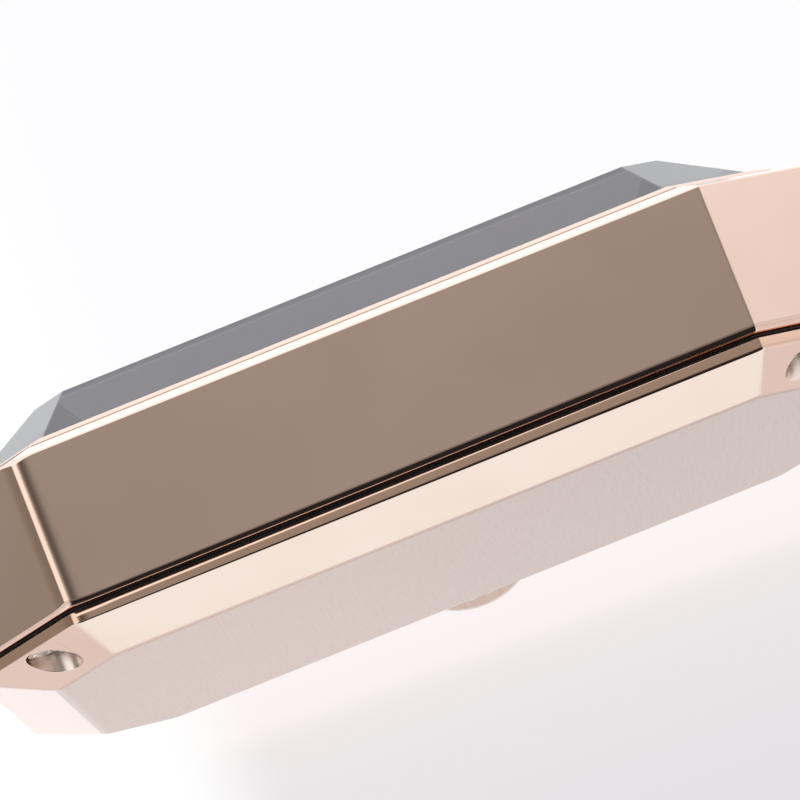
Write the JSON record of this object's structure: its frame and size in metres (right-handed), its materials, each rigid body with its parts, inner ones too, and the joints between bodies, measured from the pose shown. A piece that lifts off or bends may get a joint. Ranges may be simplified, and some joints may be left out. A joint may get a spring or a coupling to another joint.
{
  "type": "octagonal case watch",
  "caption": "Watch head with an octagonal polished case, thick faceted crystal, screwed case back, pull-out crown and two-hand quartz movement.",
  "frame": {"origin": "centre of the flat outer face of the case back", "axes": "+Z from the case back towards the crystal, +Y towards 12 o'clock, +X towards the crown"},
  "size_m": [0.0231, 0.0312, 0.0076],
  "materials": {
    "case_gold": "polished rose gold plating on steel",
    "crystal_glass": "polished faceted mineral glass",
    "white_gasket": "smooth",
    "black_rubber": "smooth",
    "screw_gold": "polished",
    "steel": "fine brushed",
    "dial_black": "glossy black lacquer",
    "marker_gold": "polished",
    "brass": "gilt",
    "holder_plastic": "matte",
    "board_green": "matte",
    "chip_black": "matte",
    "coil_copper": "wound enamelled wire",
    "battery_steel": "brushed",
    "insulator_film": "smooth film"
  },
  "bodies": {
    "case": {"case_middle": "case_gold", "bezel": "case_gold", "crystal": "crystal_glass", "crystal_gasket": "white_gasket", "caseback": "case_gold", "caseback_gasket": "black_rubber", "caseback_screws": "screw_gold", "crown_tube": "steel", "strap_lug_12": "case_gold", "strap_lug_6": "case_gold", "dial": "dial_black", "hour_markers": "marker_gold", "dial_washer": "brass", "movement_holder": "holder_plastic", "main_plate": "brass", "train_bridge": "steel", "bridge_screws": "steel", "circuit_board": "board_green", "circuit_chip": "chip_black", "quartz_can": "steel", "coil_core": "steel", "motor_coil": "coil_copper", "stator": "steel", "battery": "battery_steel", "battery_clamp": "brass", "battery_insulator": "insulator_film"},
    "setting_pinion": {"setting_pinion": "steel"},
    "crown": {"crown": "case_gold", "crown_gasket": "black_rubber", "stem": "steel"},
    "setting_lever": {"setting_lever": "steel"},
    "minute_hand": {"minute_hand": "marker_gold", "cannon_pinion": "steel"},
    "minute_wheel": {"minute_wheel": "brass"},
    "hour_hand": {"hour_hand": "marker_gold", "hour_wheel": "brass"},
    "fourth_wheel": {"fourth_wheel": "brass"},
    "third_wheel": {"third_wheel": "brass"},
    "centre_wheel": {"centre_wheel": "brass"},
    "fifth_wheel": {"fifth_wheel": "brass"},
    "rotor": {"rotor": "steel"}
  },
  "joints": [
    {"name": "crown_turn", "type": "hinge", "parent": "case", "child": "setting_pinion", "pos_m": [0, 0, 0.0028], "axis": [1, 0, 0], "continuous": true},
    {"name": "crown_pull", "type": "slide", "parent": "setting_pinion", "child": "crown", "axis": [1, 0, 0], "range_m": [0, 0.0009]},
    {"name": "setting_lever_swing", "type": "hinge", "parent": "case", "child": "setting_lever", "pos_m": [0.006, 0.0029, 0.0019], "axis": [0, 0, 1], "range_deg": [0, 22.2]},
    {"name": "minute_hand_turn", "type": "hinge", "parent": "case", "child": "minute_hand", "pos_m": [0, 0, 0.004], "axis": [0, 0, 1], "continuous": true},
    {"name": "minute_wheel_turn", "type": "hinge", "parent": "case", "child": "minute_wheel", "pos_m": [0.0017, -0.0017, 0.0035], "axis": [0, 0, 1], "continuous": true},
    {"name": "hour_hand_turn", "type": "hinge", "parent": "case", "child": "hour_hand", "pos_m": [0, 0, 0.004], "axis": [0, 0, 1], "continuous": true},
    {"name": "fourth_wheel_turn", "type": "hinge", "parent": "case", "child": "fourth_wheel", "pos_m": [-0.00085, 0.00465, 0.002], "axis": [0, 0, 1], "continuous": true},
    {"name": "third_wheel_turn", "type": "hinge", "parent": "case", "child": "third_wheel", "pos_m": [0.0018, 0.00312, 0.002], "axis": [0, 0, 1], "continuous": true},
    {"name": "centre_wheel_turn", "type": "hinge", "parent": "case", "child": "centre_wheel", "pos_m": [0, 0, 0.002], "axis": [0, 0, 1], "continuous": true},
    {"name": "fifth_wheel_turn", "type": "hinge", "parent": "case", "child": "fifth_wheel", "pos_m": [-0.00298, 0.00427, 0.002], "axis": [0, 0, 1], "continuous": true},
    {"name": "rotor_turn", "type": "hinge", "parent": "case", "child": "rotor", "pos_m": [-0.0041, 0.00621, 0.002], "axis": [0, 0, 1], "continuous": true}
  ],
  "couplings": [
    {"joint": "setting_lever_swing", "follows": "crown_pull", "rad_per_m": 429.36},
    {"joint": "minute_wheel_turn", "follows": "minute_hand_turn", "ratio": -0.33333},
    {"joint": "hour_hand_turn", "follows": "minute_hand_turn", "ratio": 0.083333},
    {"joint": "third_wheel_turn", "follows": "fourth_wheel_turn", "ratio": -0.13333},
    {"joint": "centre_wheel_turn", "follows": "fourth_wheel_turn", "ratio": 0.016667},
    {"joint": "fifth_wheel_turn", "follows": "fourth_wheel_turn", "ratio": -5},
    {"joint": "rotor_turn", "follows": "fourth_wheel_turn", "ratio": 30}
  ]
}
